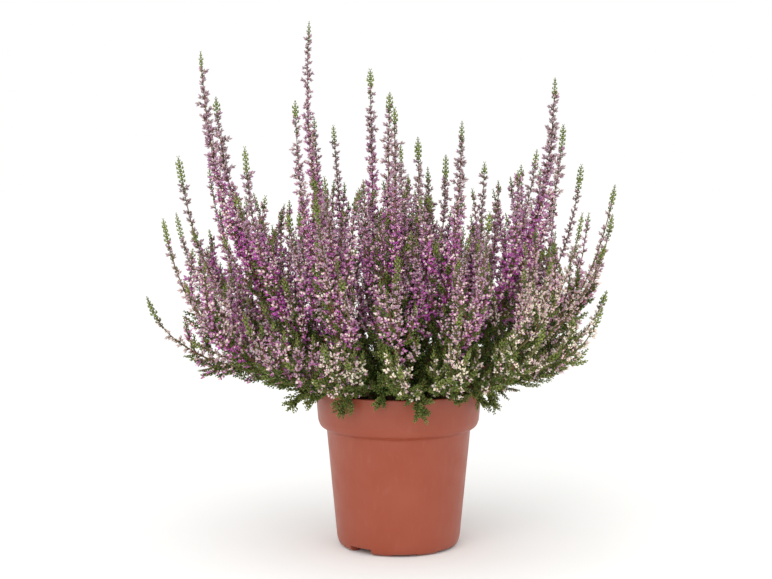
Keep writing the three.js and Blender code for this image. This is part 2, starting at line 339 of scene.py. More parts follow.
def layered(tree, under, *layers):
    """A colour with others laid over it, each from 0 where its value is low to `most` where it is high."""
    for value, low, high, most, over in layers:
        share = add(tree, "ShaderNodeMapRange", zip(SPAN, (value, low, high, 0, most)))
        colours = {"Factor_Float": share, "A_Color": under, "B_Color": over}
        under = add(tree, "ShaderNodeMix", colours, data_type="RGBA")
    return under


def grain(tree, size_mm, detail=3, stretch=(1, 1, 1), span=None):
    """Noise with spots of about a given size in millimetres, mapped to a span if one is given."""
    where = add(tree, "ShaderNodeTexCoord").outputs["Object"]
    scaled = add(tree, "ShaderNodeMapping", {"Vector": where, "Scale": stretch})
    spots = add(tree, "ShaderNodeTexNoise", {
        "Vector": scaled, "Scale": 1 / (2 * size_mm * MM), "Detail": detail})
    return add(tree, "ShaderNodeMapRange", zip(SPAN, (spots, *span))) if span else spots


def pot_plastic(pot):
    """Injection-moulded polypropylene with a satin, finely eroded skin: soft highlights, paler scuffs."""
    material, tree = new_material("terracotta_polypropylene")
    body = layered(
        tree, pot.plastic, (grain(tree, 14), 0.35, 0.7, 0.35, pot.plastic_worn),
        (grain(tree, 1.6, 5, (1, 1, 0.35)), 0.58, 0.74, 0.35, pot.plastic_worn))
    # The mould's eroded skin is about 0.1 mm fine; it is drawn at 0.5 mm so that it shows.
    skin = add(tree, "ShaderNodeBump", {"Height": grain(tree, 0.5, 2), "Strength": 0.12, "Distance": 0.0002})
    sheen = grain(tree, 6, span=(0.3, 0.7, 0.38, 0.5))
    return shaded(material, {"Base Color": body, "Roughness": sheen, "Normal": skin, "IOR": 1.49})


def peat_fibre(pot):
    """Moist peat: dark crumbs with paler dry fibres, fully matte."""
    material, tree = new_material("moist_peat")
    fibres = layered(tree, pot.peat_dark, (grain(tree, 0.8, 6, (1, 0.3, 1)), 0.45, 0.7, 1, pot.peat_light))
    rough = add(tree, "ShaderNodeBump", {"Height": grain(tree, 0.6, 5), "Strength": 0.8, "Distance": 0.0006})
    return shaded(material, {"Base Color": fibres, "Normal": rough, "Roughness": 0.95})


def bark(plant):
    """Thin woody bark: reddish brown with dark furrows, olive green where the wood is new."""
    material, tree = new_material("heather_bark")
    young = add(tree, "ShaderNodeAttribute", attribute_name="young").outputs["Fac"]
    furrows = grain(tree, 0.5, 4, (1, 1, 0.25), (0.35, 0.65, 0, 1))
    wood = layered(
        tree, plant.wood_dark, (furrows, 0, 1, 1, plant.wood_red), (young, 0, 1, 1, plant.wood_green))
    ridges = add(tree, "ShaderNodeBump", {"Height": furrows, "Strength": 0.5, "Distance": 0.0002})
    return shaded(material, {"Base Color": wood, "Normal": ridges, "Roughness": 0.75})


def bud_sepal(plant):
    """Papery coloured sepals of a closed bud: cream at the base, pink to purple towards the point."""
    material, tree = new_material("heather_bud_sepal")
    chance, luck, shade, dull, pale = (
        add(tree, "ShaderNodeAttribute", attribute_name=name).outputs["Fac"]
        for name in ("chance", "luck", "shade", "dull", "pale"))
    uneven = add(tree, "ShaderNodeMath", {"Value": chance, "Value_001": luck}, operation="ADD")
    shift = add(tree, "ShaderNodeMapRange", zip(SPAN, (uneven, 0, 2, -0.68, 0.42)))
    along = add(tree, "ShaderNodeMath", {"Value": shade, "Value_001": shift}, operation="ADD")
    cream = layered(tree, plant.bud_pale, (along, 0.7, 1.3, 1, plant.bud_pink))
    tint = layered(
        tree, plant.bud_base, (along, 0.1, 0.35, 1, plant.bud_pink), (along, 0.3, 0.55, 1, plant.bud_purple),
        (dull, 0, 1, 1, plant.bud_dull), (pale, 0, 1, 1, cream))
    veins = grain(tree, 0.4, 2, span=(0.3, 0.7, 0.82, 1.12))
    veined = add(tree, "ShaderNodeHueSaturation", {"Color": tint, "Value": veins})
    return shaded(material, {
        "Base Color": veined, "Roughness": 0.6, "Specular IOR Level": 0.25, "Subsurface Weight": 0.15,
        "Subsurface Scale": 0.001})


def scale_leaf(plant):
    """Small keeled scale leaves: dark waxy green, yellow-green and softer on new growth."""
    material, tree = new_material("heather_scale_leaf")
    young, chance, shade, dull, luck = (
        add(tree, "ShaderNodeAttribute", attribute_name=name).outputs["Fac"]
        for name in ("young", "chance", "shade", "dull", "luck"))
    uneven = add(tree, "ShaderNodeMapRange", zip(SPAN, (chance, 0, 1, -0.2, 0.25)))
    newness = {"Value": young, "Value_001": uneven}
    fresh = add(tree, "ShaderNodeMath", newness, operation="ADD", use_clamp=True)
    # The bracts among the buds are mostly mauve, and hold their share of it as their luck.
    among_faded = add(tree, "ShaderNodeMapRange", zip(SPAN, (dull, 0, 1, 0, 0.45)))
    mauve = add(tree, "ShaderNodeMath", {"Value": among_faded, "Value_001": luck}, operation="MAXIMUM")
    leaf = layered(
        tree, plant.leaf_dark, (fresh, 0, 1, 1, plant.leaf_light), (shade, 0.4, 1, 0.45, plant.leaf_point),
        (mauve, 0, 1, 1, plant.leaf_mauve))
    mottle = grain(tree, 0.7, 2, span=(0.3, 0.7, 0.8, 1.15))
    mottled = add(tree, "ShaderNodeHueSaturation", {"Color": leaf, "Value": mottle})
    return shaded(material, {
        "Base Color": mottled, "Roughness": 0.6, "Specular IOR Level": 0.3, "Subsurface Weight": 0.1,
        "Subsurface Scale": 0.001})


# ---- Pot ----

CURVE_STEPS = 4  # steps round each moulded corner
SIDES = 120
NOTCH_EDGE_DEG = 0.15  # half the width of the slope at a notch's side
MERGE = 1e-6  # points of a mesh that are closer than this, in metres, become one


def rounded(profile, radius):
    """A profile with each inner corner turned into a short curve that starts `radius` from the corner."""
    points = [Vector(p) for p in profile]
    made = [points[0]]
    for before, corner, after in zip(points, points[1:], points[2:]):
        back = before - corner
        on = after - corner
        reach = min(radius, back.length * 0.45, on.length * 0.45)
        start = corner + back.normalized() * reach
        end = corner + on.normalized() * reach
        for i in range(CURVE_STEPS + 1):
            t = i / CURVE_STEPS
            made.append(start * (1 - t) ** 2 + corner * 2 * t * (1 - t) + end * t ** 2)
    made.append(points[-1])
    return made


def pot_profile():
    """The pot's section as (radius, height), from under the middle of its floor round to the top of it."""
    inner_crease = CREASE_RADIUS - WALL + 0.2
    return [
        (0, 0), (CENTRE_FOOT_RADIUS, 0), (CENTRE_FOOT_RADIUS + 1, FLOOR_UNDER),
        (STAND_INNER - 1, FLOOR_UNDER), (STAND_INNER, 0), (STAND_OUTER, 0), (STAND_OUTER + 3, 1.7),
        (BODY_FOOT_RADIUS, BODY_FOOT), (CREASE_RADIUS, CREASE), (COLLAR_FOOT_RADIUS - 1.6, CREASE + 3),
        (COLLAR_FOOT_RADIUS, COLLAR_FOOT), (RIM_RADIUS, POT_HEIGHT - 0.6), (RIM_RADIUS - 0.5, POT_HEIGHT),
        (RIM_RADIUS - WALL, POT_HEIGHT), (COLLAR_FOOT_RADIUS - WALL, COLLAR_FOOT),
        (inner_crease, CREASE + 0.4), (BODY_FOOT_RADIUS - WALL, BODY_FOOT + 1),
        (BODY_FOOT_RADIUS - WALL - 1, FLOOR_TOP), (0, FLOOR_TOP),
    ]


def notch_depth(angle_deg):
    """How far the foot is cut away at an angle round the pot."""
    for i in range(NOTCHES):
        away = (angle_deg - FIRST_NOTCH_DEG - i * 360 / NOTCHES + 180) % 360 - 180
        if abs(away) < NOTCH_HALF_DEG:
            return SLOT_DEPTH if i % SLOT_EVERY == 0 else NOTCH_DEPTH
    return 0


def turned(name, profile, angles, lowest=lambda angle: 0):
    """A closed surface of revolution, with its foot raised to `lowest` at each angle."""
    form = bmesh.new()
    rings = []
    for radius, height in profile:
        ring = []
        for angle in angles if radius else [0]:
            z = max(height, lowest(angle)) if radius > CENTRE_FOOT_RADIUS + 2 else height
            a = math.radians(angle)
            ring.append(form.verts.new((radius * math.cos(a) * MM, radius * math.sin(a) * MM, z * MM)))
        rings.append(ring)
    count = len(angles)
    for low, high in zip(rings, rings[1:]):
        for i in range(count):
            j = (i + 1) % count
            corners = [low[i % len(low)], low[j % len(low)], high[j % len(high)], high[i % len(high)]]
            form.faces.new(list(dict.fromkeys(corners)))
    bmesh.ops.remove_doubles(form, verts=form.verts, dist=MERGE)
    bmesh.ops.recalc_face_normals(form, faces=form.faces)
    return as_mesh(name, form)


def drilled(name, mesh):
    """A pot with its drain holes, cut by one solid that holds all the drills."""
    form = bmesh.new()
    for i in range(DRAIN_HOLES):
        a = 2 * math.pi * i / DRAIN_HOLES
        drill = bmesh.ops.create_cone(form, cap_ends=True, segments=32, radius1=DRAIN_RADIUS * MM,
                                      radius2=DRAIN_RADIUS * MM, depth=6 * MM)
        where = Vector((math.cos(a) * DRAIN_CIRCLE, math.sin(a) * DRAIN_CIRCLE, FLOOR_TOP - 1)) * MM
        bmesh.ops.translate(form, verts=drill["verts"], vec=where)
    drills = shown("drills", as_mesh("drills", form))
    blank = shown(name, mesh)
    cut = blank.modifiers.new("Drain holes", "BOOLEAN")
    cut.operation, cut.object, cut.solver = "DIFFERENCE", drills, "EXACT"
    # Where a hole's edge runs through an edge of the floor, the cut leaves two corners in one place.
    form = bmesh.new()
    form.from_mesh(evaluated(blank))
    bmesh.ops.remove_doubles(form, verts=form.verts, dist=MERGE)
    bpy.data.objects.remove(drills)
    return as_mesh(name, form)


class HEATHER_OT_pot(Operator):
    """Make the moulded pot with its collar, notched foot and drain holes"""

    bl_idname = "heather.pot"
    bl_label = "Moulded pot"

    def execute(self, context):
        settings = context.scene.heather_pot
        angles = {round(i * 360 / SIDES, 3) for i in range(SIDES)}
        for i in range(NOTCHES):
            for edge in (-NOTCH_HALF_DEG, NOTCH_HALF_DEG):
                for nudge in (-NOTCH_EDGE_DEG, NOTCH_EDGE_DEG):
                    angles.add(round((FIRST_NOTCH_DEG + i * 360 / NOTCHES + edge + nudge) % 360, 3))
        profile = rounded(pot_profile(), settings.corner / MM)
        mesh = drilled("moulded_pot", turned("blank", profile, sorted(angles), notch_depth))
        mesh.shade_smooth()
        mesh.set_sharp_from_angle(angle=math.radians(40))
        mesh.materials.append(pot_plastic(settings))
        place("moulded_pot", mesh, ["pot"])
        return {"FINISHED"}


# ---- Peat ----

PEAT_SURFACE = PEAT_TOP - 0.6
PEAT_SWELL = 0.9  # height of the surface's swells
PEAT_WAVE = 4  # and their width
PEAT_RINGS = 18


def crumb_tree():
    """Strews crumbs over the top of the peat."""
    tree, given = new_tree("Peat crumbs", {
        "Crumb": "Object", "Density": "Float", "Radius": "Float", "Seed": "Int", "Material": "Material"})
    up = add(tree, "ShaderNodeSeparateXYZ", {"Vector": add(tree, "GeometryNodeInputNormal")})
    level = add(tree, "FunctionNodeCompare", {"A": up.outputs["Z"], "B": 0.7}, operation="GREATER_THAN")
    strewn = add(tree, "GeometryNodeDistributePointsOnFaces", {
        "Mesh": given["Geometry"], "Selection": level, "Density": given["Density"], "Seed": given["Seed"]})
    crumb = add(tree, "GeometryNodeObjectInfo", {"Object": given["Crumb"]})
    turn, share = (
        add(tree, "FunctionNodeRandomValue", {"Min": low, "Max": high, "Seed": given["Seed"]},
            data_type="FLOAT_VECTOR")
        for low, high in (((0, 0, 0), (6.28, 6.28, 6.28)), ((0.3, 0.3, 0.3), (1.3, 1.3, 0.9))))
    radius = add(tree, "ShaderNodeVectorMath", {"Vector": share, "Scale": given["Radius"]}, operation="SCALE")
    lain = add(tree, "GeometryNodeInstanceOnPoints", {
        "Points": strewn, "Instance": crumb.outputs["Geometry"],
        "Rotation": add(tree, "FunctionNodeEulerToRotation", {"Euler": turn}), "Scale": radius})
    both = add(tree, "GeometryNodeJoinGeometry", {"Geometry": [given["Geometry"], lain]})
    real = add(tree, "GeometryNodeRealizeInstances", {"Geometry": both})
    painted = add(tree, "GeometryNodeSetMaterial", {"Geometry": real, "Material": given["Material"]})
    tree.links.new(painted.outputs[0], tree.nodes.new("NodeGroupOutput").inputs[0])
    return tree


class HEATHER_OT_peat(Operator):
    """Fill the pot with peat, crumbly on top"""

    bl_idname = "heather.peat"
    bl_label = "Peat"

    def execute(self, context):
        settings = context.scene.heather_pot
        wall = WALL + PEAT_GAP
        brink = COLLAR_FOOT_RADIUS - wall - 0.3
        profile = [(0, FLOOR_TOP + PEAT_GAP), (BODY_FOOT_RADIUS - wall - 2, FLOOR_TOP + PEAT_GAP),
                   (BODY_FOOT_RADIUS - wall, BODY_FOOT + 2), (CREASE_RADIUS - wall, CREASE + 1),
                   (brink, COLLAR_FOOT), (brink, PEAT_SURFACE - 1.5)]
        profile += [(brink * i / PEAT_RINGS, PEAT_SURFACE) for i in range(PEAT_RINGS - 1, -1, -1)]
        mesh = turned("peat_body", profile, [i * 360 / 64 for i in range(64)])
        for vertex in mesh.vertices:
            if vertex.co.z > (PEAT_SURFACE - 1) * MM:
                vertex.co.z += PEAT_SWELL * MM * noise.noise(vertex.co / (PEAT_WAVE * MM))
        form = bmesh.new()
        bmesh.ops.create_icosphere(form, subdivisions=1, radius=1)
        for vertex in form.verts:
            vertex.co *= 1 + 0.25 * noise.noise(vertex.co * 2)
        crumb = bpy.data.objects.new("crumb", as_mesh("crumb", form))
        made = grown("peat_fill", mesh, crumb_tree(), {
            "Crumb": crumb, "Density": settings.crumbs, "Radius": settings.crumb, "Seed": 3,
            "Material": peat_fibre(settings)})
        bpy.data.objects.remove(crumb)
        place("peat_fill", made, ["peat"])
        return {"FINISHED"}


# ---- The plant's lines ----

WAVER = 1.1  # how far growth wanders off its smooth curve
LINE_STEPS = 80
PAST_TIP = 2.4  # how far the leaves at a tip reach past its line, which ends that much short of the solid
POT_CLEARANCE = 2.5  # how far twigs keep off the pot's wall and rim
TWIG_STEPS = 6
RISER_STEPS = 20
RISER_LEAST = 35  # length of the shortest riser
RISER_TOP = (180, 270)  # between these heights risers end, or below
RISER_RIGHT = 35  # how much higher they may end on the right

noise.seed_set(5)  # the wandering of every line follows from this


class Line:
    """A line in millimetres that is walked by its length."""

    def __init__(self, points, azimuth):
        self.points = points
        self.inward = Vector((-math.cos(azimuth), -math.sin(azimuth), 0))
        self.across = Vector((-math.sin(azimuth), math.cos(azimuth), 0))
        self.azimuth = azimuth
        self.walked = [0]
        for a, b in zip(points, points[1:]):
            self.walked.append(self.walked[-1] + (b - a).length)
        self.length = self.walked[-1]

    def at(self, distance):
        """The point and the direction at a distance from the root."""
        i = min(bisect_left(self.walked, distance, 1), len(self.points) - 1) - 1
        a, b = self.points[i], self.points[i + 1]
        share = (distance - self.walked[i]) / max(1e-6, self.walked[i + 1] - self.walked[i])
        return a.lerp(b, share), (b - a).normalized()

    def outward(self, distance, round_angle):
        """The direction square to the line at an angle round it, 0 being its under side."""
        along = self.at(distance)[1]
        across = (self.across - along * self.across.dot(along)).normalized()
        return across.cross(along) * math.cos(round_angle) + across * math.sin(round_angle)


def waver(seed, t):
    """How far a line wanders off at a share of its length."""
    return noise.noise_vector(Vector((t * 6, seed * 3.7, 0.5))) * WAVER * min(1, t * 6)


def stem_line(stem, start=0, end=1, fan=0, splay=0, seed=None):
    """The line of a stem or of one of its spikes, between two shares of the stem's own curve."""
    hole, reach, height = stem.hole, stem.reach - PAST_TIP, stem.height - PAST_TIP
    swing, rise, belly, lift = stem.curve
    low = PEAT_TOP + (height - PEAT_TOP) * lift + LIFT_LEAST
    points = []
    for i in range(LINE_STEPS + 1):
        u = i / LINE_STEPS
        t = lerp(start, end, u)
        part = parting(u)
        azimuth = stem.azimuth + stem.sway * math.sin(math.pi * t) + fan * part
        off = splay * part
        radius = cubic(hole, lerp(hole, reach, swing), reach * belly, reach, t) - off
        z = cubic(PEAT_TOP, PEAT_TOP + rise, low, height, t) + off
        point = Vector((radius * math.cos(azimuth), radius * math.sin(azimuth), z))
        own = waver(stem.seed if seed is None else seed, t)
        points.append(point + waver(stem.seed, t) * (1 - part) + own * part)
    return Line(points, azimuth)


def all_stems():
    """The flowering stems of all rings, each with its CAD node's name, its place and its curve."""
    stems = []
    for ring, hole, start, curve, spikes, tips in RINGS:
        pitch = 2 * math.pi / len(tips)
        for i, (reach, height) in enumerate(tips):
            k = len(stems)
            stems.append(SimpleNamespace(
                node=f"{ring}_stem_{i + 1:02d}", ring=ring, number=i + 1, seed=k, hole=hole, curve=curve,
                spikes=spikes, reach=reach, height=height, azimuth=math.radians(start) + i * pitch,
                fan=min(pitch * SPIKE_FAN_SHARE, SPIKE_FAN_MOST / reach),
                sway=math.radians(SWAY_DEG) * (spread(k, 0) - 0.5)))
    return stems


def edge_shoots():
    """The leafy shoots round the rim, each with its CAD node's name, its place and its curve."""
    pitch = 2 * math.pi / SHOOTS
    return [SimpleNamespace(
        node=f"leafy_shoot_{i + 1:02d}", seed=100 + i, hole=SHOOT_HOLE, curve=SHOOT_CURVE, sway=0,
        azimuth=(i + 0.5) * pitch, reach=lerp(*SHOOT_REACH, spread(i, 0)),
        height=lerp(*SHOOT_HEIGHT, spread(i, 1))) for i in range(SHOOTS)]


def clear_of_pot(point):
    """Whether a point is clear of the pot's wall and above the peat."""
    radius = math.hypot(point.x, point.y)
    inside = radius < RIM_RADIUS - WALL - POT_CLEARANCE and point.z > PEAT_TOP + 1.5
    return inside or radius > RIM_RADIUS + POT_CLEARANCE or point.z > POT_HEIGHT + POT_CLEARANCE


def twig_line(line, distance, round_angle, length, lean_deg, bend_deg):
    """A twig that leaves a line at `lean_deg` and bends to `bend_deg` from it, or None in the pot's wall."""
    point, along = line.at(distance)
    out = line.outward(distance, round_angle)
    points = [point]
    for i in range(TWIG_STEPS):
        angle = math.radians(lerp(lean_deg, bend_deg, i / TWIG_STEPS))
        heading = along * math.cos(angle) + out * math.sin(angle) + Vector((0, 0, 0.25 * i / TWIG_STEPS))
        points.append(points[-1] + heading.normalized() * length / TWIG_STEPS)
    return Line(points, line.azimuth) if all(clear_of_pot(p) for p in points[2:]) else None


def riser_line(line, distance, draw):
    """A side spike that leaves a stem and turns upright as it grows, up to a share of the stem's height."""
    point, along = line.at(distance)
    tip, ahead = line.at(line.length)
    swerve = draw.uniform(-1.4, 1.4)
    top = min(lerp(point.z, tip.z, draw.uniform(0.45, 0.88)),
              draw.uniform(*RISER_TOP) + RISER_RIGHT * max(0, math.cos(line.azimuth)))
    length = max(RISER_LEAST, (top - point.z) * 1.05)
    first = (along + line.across * swerve).normalized()
    last = ahead + Vector((0, 0, 0.5)) + line.across * swerve * 0.15 + line.inward * draw.uniform(-0.1, 0.35)
    last.normalize()
    seed = draw.uniform(500, 900)
    points = [point]
    for i in range(RISER_STEPS):
        heading = first.lerp(last, parting(i / RISER_STEPS)).normalized()
        points.append(points[-1] + heading * length / RISER_STEPS)
    return Line([p + waver(seed, i / RISER_STEPS) for i, p in enumerate(points)], line.azimuth)


# ---- What grows along the lines ----

# What a skeleton's points hold: the bark's radius, the chance and size of buds and of pairs of leaves,
# and how pale, how faded and how young the growth is there.
TRAITS = ("thickness", "buds", "bud_size", "leafing", "leaf_size", "pale", "dull", "young")
SKELETON_STEP = 1.3
STEM_WOOD, SPIKE_WOOD, RISER_WOOD = 1.25, 0.8, 0.7  # radius of the wood at the foot of each
PALE_HEIGHT = (165, 225)  # between these heights, whitish spikes turn to pink
# How pale the buds are: on an arching stem by its number, on the other arching stems, and on stems inside.
WHITISH = {1: 0.5, 2: 0.35, 11: 0.2, 12: 0.6, 13: 0.85, 14: 0.75, 15: 0.75, 16: 0.6}
WHITISH_LEAST = 0.1
PALE_INSIDE = 0.08
BRANCHLET = (10, 4)  # lengths of the branchlets on the inner stems, from the lowest to the highest
# Risers, the small side spikes that fill the bush: how many a stem has, and the shares of its length
# between which they leave it.
RISERS = {
    "arching": (5, 0.28, 0.65),
    "leaning": (8, 0.18, 0.6),
    "tall": (8, 0.12, 0.5),
    "heart": (11, 0.08, 0.45),
}


class Skeleton:
    """The lines of one piece of the plant, with the traits of each point."""

    def __init__(self):
        self.points, self.edges = [], []
        self.values = {name: [] for name in TRAITS}

    def grow(self, line, traits, root=0):
        """Adds a line, asking `traits` for the values at each distance along it that aren't 0."""
        count = max(3, round(line.length / SKELETON_STEP))
        spots = [line.length * i / count for i in range(count + 1)]
        points = [line.at(spot)[0] for spot in spots]
        if root:
            spots.insert(0, 0)
            points.insert(0, points[0] - Vector((0, 0, root)))
        first = len(self.points)
        self.points += points
        self.edges += [(i, i + 1) for i in range(first, len(self.points) - 1)]
        for spot in spots:
            values = traits(spot)
            for name in TRAITS:
                self.values[name].append(values.get(name, 0))


def nature(draw, pale, dull=0.75):
    """What one stem or spike is like, as shares and factors that its traits follow."""
    return SimpleNamespace(
        sparse=draw.uniform(0.6, 1), dull=draw.uniform(dull, dull + 0.25),
        girth=lerp(1, 0.85, pale) * draw.uniform(0.88, 1.27),
        pale=min(1, pale * draw.uniform(0.6, 1.4) + 0.4 * draw.random() ** 5),
        green=draw.uniform(0.65, 1), tip=draw.uniform(1.1, 1.65))


def flowering(line, bloom_from, own, wood, green_tip=GREEN_TIP):
    """The traits along a stem or a spike: bare or leafy wood, then buds, then a green tip."""
    end = line.length - green_tip

    def traits(s):
        share = min(1, max(0, (s - bloom_from) / max(1, end - bloom_from)))
        bloom = ease(bloom_from - 8, bloom_from + 6, s) * (1 - ease(end - 2, end + 3, s))
        sparse = ease(0.45, 1, share) * own.sparse
        tip = ease(end - 3, end + 3, s)
        below = 1 - ease(bloom_from - 4, bloom_from + 4, s)
        leaf_size = lerp(1.05, own.tip, ease(end - 8, end + 4, s))
        return {
            "thickness": MM * lerp(wood, 0.35, ease(0, 1, s / line.length)),
            "buds": bloom * lerp(1, 0.86, sparse) * (1 - 0.3 * own.pale),
            "bud_size": lerp(1.1, 0.82, sparse) * own.girth,
            "leafing": max(ease(end - 18, end + 3, s), (0.55 if wood > 1 else 0.75) * below * ease(6, 14, s),
                           lerp(0.06, 0.3, own.pale) * bloom),
            "leaf_size": leaf_size * (1 - 0.6 * ease(line.length - 8, line.length, s)),
            "pale": own.pale * lerp(1.1, 0.25, ease(*PALE_HEIGHT, line.at(s)[0].z)),
            "dull": own.dull * ease(0.2, 0.9, share) * (1 - tip),
            "young": max(tip, max(own.pale, lerp(0.1, 0.5, share)) * bloom) * own.green,
        }

    return traits


def leafy(line, young, size, bloom=0, pale=0):
    """The traits along a leafy twig, which may bear a few buds past its foot."""

    def traits(s):
        end = ease(line.length - 4, line.length, s)
        return {"thickness": MM * lerp(0.5, 0.25, s / line.length), "leafing": 1,
                "leaf_size": size * lerp(1, 0.55, end), "young": young + 0.25 * end,
                "buds": bloom * ease(3, 7, s) * (1 - end), "bud_size": 0.95, "pale": pale}

    return traits


def leafy_twigs(skeleton, line, start, end, step, lengths, young, draw, under=False, bloom=0, pale=0):
    """Sets leafy twigs on a line, round it by the golden angle or on its under side only."""
    droop = 6 if under else 0
    s = start
    k = 0
    while s < end:
        angle = draw.uniform(-1, 1) if under else math.radians(GOLDEN_DEG) * k + draw.uniform(-0.4, 0.4)
        length = draw.uniform(*lengths)
        twig = twig_line(line, s, angle, length, draw.uniform(38, 58) + droop, draw.uniform(5, 25) + droop)
        if twig:
            skeleton.grow(twig, leafy(twig, young * draw.uniform(0.2, 1.8), draw.uniform(0.9, 1.25),
                                      bloom * draw.random(), pale))
        s += step * draw.uniform(0.75, 1.25)
        k += 1


def branchlets(skeleton, line, start, end, own, draw):
    """Sets short branchlets full of buds on a stem, longest at its foot."""
    s = start
    k = 0
    while s < end:
        share = (s - start) / (end - start)
        length = lerp(*BRANCHLET, share) * draw.uniform(0.7, 1.2)
        twig = twig_line(line, s, math.radians(GOLDEN_DEG) * k, length, draw.uniform(45, 65), 15)
        if twig:
            traits = {"thickness": 0.35 * MM, "buds": 0.95, "bud_size": 0.85 * own.girth,
                      "pale": own.pale, "dull": own.dull * ease(0.2, 1, share)}
            skeleton.grow(twig, lambda distance: traits)
        s += draw.uniform(4, 7)
        k += 1


def side_spikes(skeleton, stem, pale, draw):
    """Sets the side spikes that a stem's solid has."""
    k, count = stem.seed, stem.spikes
    for i in range(count):
        turn = (i + lerp(*SPIKE_ROUND, spread(k, 3))) / count * 2 * math.pi
        start = lerp(*SPIKE_FROM, spread(3 * k + i, 1))
        end = lerp(*SPIKE_TO, spread(3 * k + i, 2))
        spike = stem_line(stem, start, end, stem.fan * math.sin(turn), SPIKE_SPLAY * math.cos(turn),
                          200 + 5 * k + i)
        skeleton.grow(spike, flowering(spike, SPIKE_ROOT - 4, nature(draw, pale), SPIKE_WOOD))
        leafy_twigs(skeleton, spike, 5, SPIKE_ROOT + 8, 5, (7, 12), 0.35, draw)


def risers(skeleton, line, ring, pale, left, draw):
    """Sets risers on a stem, which flower from a height that falls towards the left."""
    count, low, high = RISERS[ring]
    if ring == "arching":
        count += round(2 * left)
        low -= 0.1 * left
    bloom_height = 132 if pale > 0.5 else lerp(158, 118, left)
    for i in range(count):
        spike = riser_line(line, lerp(low, high, (i + draw.random()) / count) * line.length, draw)
        bloom = 12
        while bloom < spike.length * 0.55 and spike.at(bloom)[0].z < bloom_height:
            bloom += 3
        skeleton.grow(spike, flowering(spike, bloom, nature(draw, pale, 0.5), RISER_WOOD, 7))
        leafy_twigs(skeleton, spike, 5, bloom + 6, 5, (8, 14), 0.3, draw)


def stem_skeleton(stem):
    """A flowering stem with its branchlets, leafy twigs and side spikes."""
    draw = random.Random(1000 + stem.seed)
    skeleton = Skeleton()
    line = stem_line(stem)
    ring = stem.ring
    left = ease(0.1, 0.9, -math.cos(stem.azimuth))
    if ring == "arching":
        pale = WHITISH.get(stem.number, WHITISH_LEAST)
        bloom_from = line.length * lerp(0.44, 0.28, left)
        leafy_to = bloom_from + lerp(0.4, 0.05, left) * (line.length - bloom_from)
    else:
        pale = PALE_INSIDE
        if ring == "leaning":
            pale += 0.4 * ease(0.6, 0.95, math.cos(stem.azimuth + 0.25))
        bloom_from = max(BARE_WOOD + LEAF_STEP, line.length * LEAF_SHARE)
        leafy_to = bloom_from + 0.1 * (line.length - bloom_from)
    own = nature(draw, pale)
    skeleton.grow(line, flowering(line, bloom_from, own, STEM_WOOD, draw.uniform(9, 21)), root=STEM_ROOT)
    if ring in ("tall", "heart"):
        branchlets(skeleton, line, line.length * 0.4, line.length * 0.88, own, draw)
    if ring == "arching":
        leafy_twigs(skeleton, line, BARE_WOOD, leafy_to, 3, (12, 24), lerp(0.55, 0.3, left), draw,
                    bloom=lerp(0.4, 1.2, left), pale=pale)
        leafy_twigs(skeleton, line, BARE_WOOD, line.length * 0.62, lerp(4.5, 3.8, left),
                    (8, lerp(13, 21, left)), lerp(0.5, 0.3, left), draw, under=True,
                    bloom=lerp(0.4, 0.65, left), pale=pale)
    else:
        lengths = (16, 30) if ring == "heart" else (12, 24)
        leafy_twigs(skeleton, line, 6, leafy_to, 2.7, lengths, 0.2, draw, pale=pale)
    side_spikes(skeleton, stem, pale, draw)
    risers(skeleton, line, ring, pale, left, draw)
    return skeleton


def shoot_skeleton(shoot):
    """A leafy shoot and its twigs, which shorten towards its tip."""
    draw = random.Random(2000 + shoot.seed)
    skeleton = Skeleton()
    line = stem_line(shoot)
    twig_traits = leafy(line, 0.2, 1)

    def traits(s):
        return {**twig_traits(s), "thickness": MM * lerp(1.1, 0.4, s / line.length),
                "leafing": ease(8, 16, s)}

    skeleton.grow(line, traits, root=STEM_ROOT)
    middle = line.length * 0.62
    leafy_twigs(skeleton, line, BARE_WOOD, middle, 1, (10, 19), 0.4, draw)
    leafy_twigs(skeleton, line, middle, line.length - 3, 1.3, (5, 11), 0.5, draw)
    return skeleton


# ---- Growing bark, buds and leaves on the lines ----

BUD_PARTS = ("Sepal", "Leaf", "Bark")  # the materials of a bud cluster's parts
# Each bud of a cluster: where it leaves the branchlet, its azimuth and lean in degrees, length, and luck.
BUDS = ((2.9, 0, 8, 3.2, 0.2), (2.2, 95, 44, 3.4, 1), (1.5, 215, 40, 3.1, 0), (1, 330, 48, 3.3, 0.7))
BUD_GIRTH = 0.92
BRACTS = ((0.8, 150, 50), (1.7, 290, 38))  # where each leaves the branchlet, its azimuth and its lean
BRACT_MAUVE = 0.8
LEAF_LENGTH = 2.8
LEAF_LEAN_DEG = 23
# A keeled scale as (across, out, up): two corners at its foot, a keel on its outer side, and its point.
SCALE = ((-1.05, 0.1, 0.4), (1.05, 0.1, 0.4), (0, 1.3, 1.5), (0, 0.5, LEAF_LENGTH))
SPENT = ("thickness", "buds", "bud_size", "leafing", "leaf_size")  # traits that no material reads


